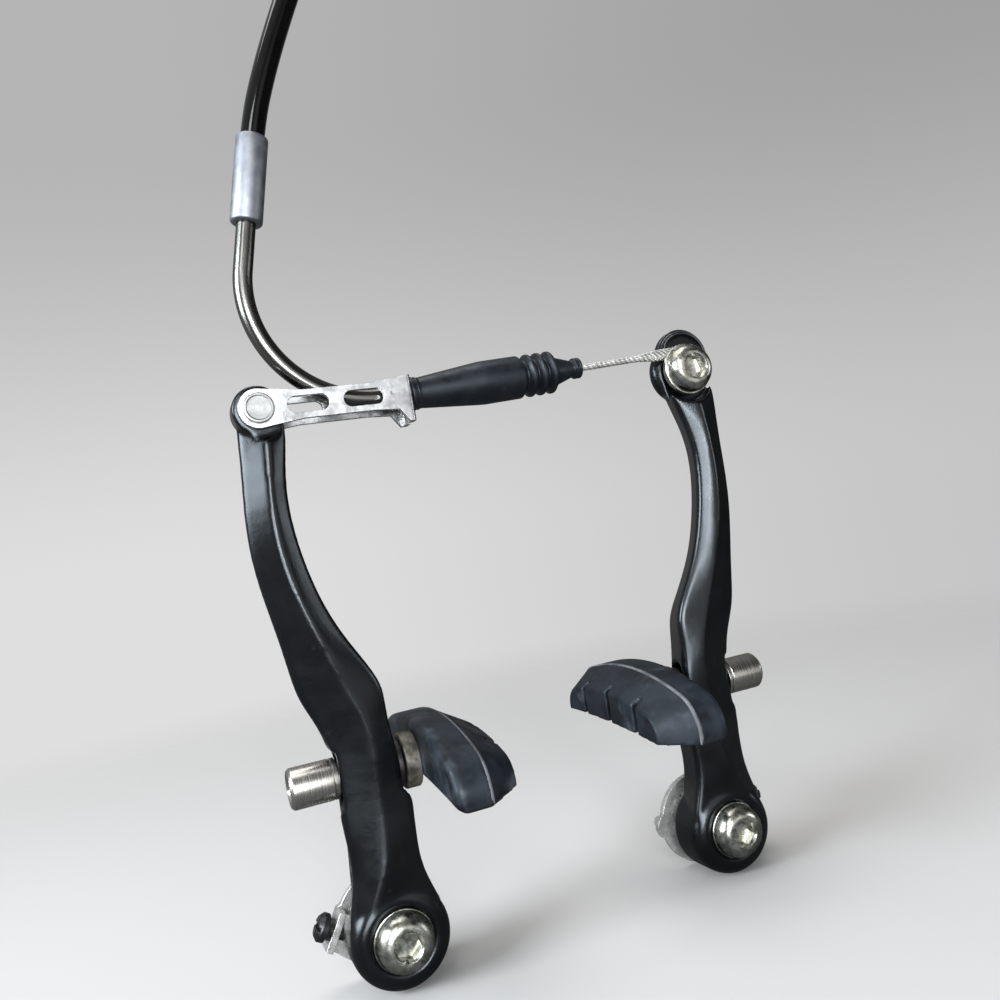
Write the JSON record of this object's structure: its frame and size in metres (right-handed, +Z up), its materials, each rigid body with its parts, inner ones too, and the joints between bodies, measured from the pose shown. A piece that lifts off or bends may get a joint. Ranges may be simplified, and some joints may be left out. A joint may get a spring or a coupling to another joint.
{
  "type": "linear-pull bicycle rim brake",
  "caption": "Linear-pull bicycle rim brake: two curved black arms on pivots with pads, return springs, a slotted link, a bent cable guide, a rubber boot and a taut wire.",
  "frame": {"origin": "midway between the two boss axes, on the plane of the boss shoulders", "axes": "+X across the wheel towards the arm with the cable anchor, +Y along the boss axes towards the bicycle, +Z up along the arms"},
  "size_m": [0.1171, 0.0536, 0.2283],
  "materials": {
    "arm_black": "semi-gloss black paint on a casting",
    "plated_bolt": "nickel plating with light tarnish",
    "plated_nut": "nickel plating with light tarnish",
    "plain_steel": "turned steel",
    "zinc_plate": "bright zinc on pressed sheet",
    "black_screw": "black oxide",
    "spring_wire": "drawn spring wire",
    "pad_rubber": "matt moulded rubber with dust",
    "black_washer": "black oxide",
    "beige_washer": "dull turned steel",
    "link_plate": "bright pressed plate",
    "rivet_steel": "satin rivet head",
    "noodle_steel": "polished tube",
    "ferrule_satin": "satin turned aluminium",
    "housing_black": "glossy black sheath",
    "boot_rubber": "matt black rubber",
    "cable_steel": "stranded steel"
  },
  "bodies": {
    "root": {"left_pivot_bolt": "plated_bolt", "left_pivot_sleeve": "plain_steel", "left_spring_plate": "zinc_plate", "left_tension_screw": "black_screw", "right_pivot_bolt": "plated_bolt", "right_pivot_sleeve": "plain_steel", "right_spring_plate": "zinc_plate", "right_tension_screw": "black_screw"},
    "left_arm": {"left_arm": "arm_black", "left_return_spring": "spring_wire", "left_pad": "pad_rubber", "left_pad_stud": "plain_steel", "left_pad_nut": "plated_nut", "left_nut_washer": "black_washer", "left_pad_dome_washer": "black_washer", "left_pad_cup_washer": "beige_washer", "link_rivet": "rivet_steel"},
    "right_arm": {"right_arm": "arm_black", "right_return_spring": "spring_wire", "right_pad": "pad_rubber", "right_pad_stud": "plain_steel", "right_pad_nut": "plated_nut", "right_nut_washer": "black_washer", "right_pad_dome_washer": "black_washer", "right_pad_cup_washer": "beige_washer", "anchor_bolt": "plated_bolt", "anchor_washer": "plain_steel"},
    "link": {"link": "link_plate", "noodle": "noodle_steel", "noodle_nose": "plain_steel", "noodle_ferrule": "ferrule_satin", "inner_wire_in_noodle": "cable_steel", "outer_housing": "housing_black", "housing_end_cap": "ferrule_satin", "boot": "boot_rubber"},
    "inner_wire": {"inner_wire": "cable_steel"}
  },
  "joints": [
    {"name": "left_arm_pivot", "type": "hinge", "parent": "root", "child": "left_arm", "pos_m": [-0.04, -0.0108, 0], "axis": [0, 1, 0], "range_deg": [0, 3.5], "stiffness_Nm_per_rad": 0.8, "springref_deg": -28.65, "deforming": ["left_return_spring"]},
    {"name": "right_arm_pivot", "type": "hinge", "parent": "root", "child": "right_arm", "pos_m": [0.04, -0.0108, 0], "axis": [0, 1, 0], "range_deg": [-3.5, 0], "stiffness_Nm_per_rad": 0.8, "springref_deg": 28.65, "deforming": ["right_return_spring"]},
    {"name": "link_pivot", "type": "hinge", "parent": "left_arm", "child": "link", "pos_m": [-0.0514, -0.0125, 0.1095], "axis": [0, 1, 0], "range_deg": [-3.5, 0]},
    {"name": "wire_flex", "type": "hinge", "parent": "right_arm", "child": "inner_wire", "pos_m": [0.0507, -0.0125, 0.11305], "axis": [0, 1, 0], "range_deg": [0, 3.5]}
  ],
  "couplings": [
    {"joint": "right_arm_pivot", "follows": "left_arm_pivot", "ratio": -1},
    {"joint": "link_pivot", "follows": "left_arm_pivot", "ratio": -1},
    {"joint": "wire_flex", "follows": "left_arm_pivot", "ratio": 1}
  ]
}
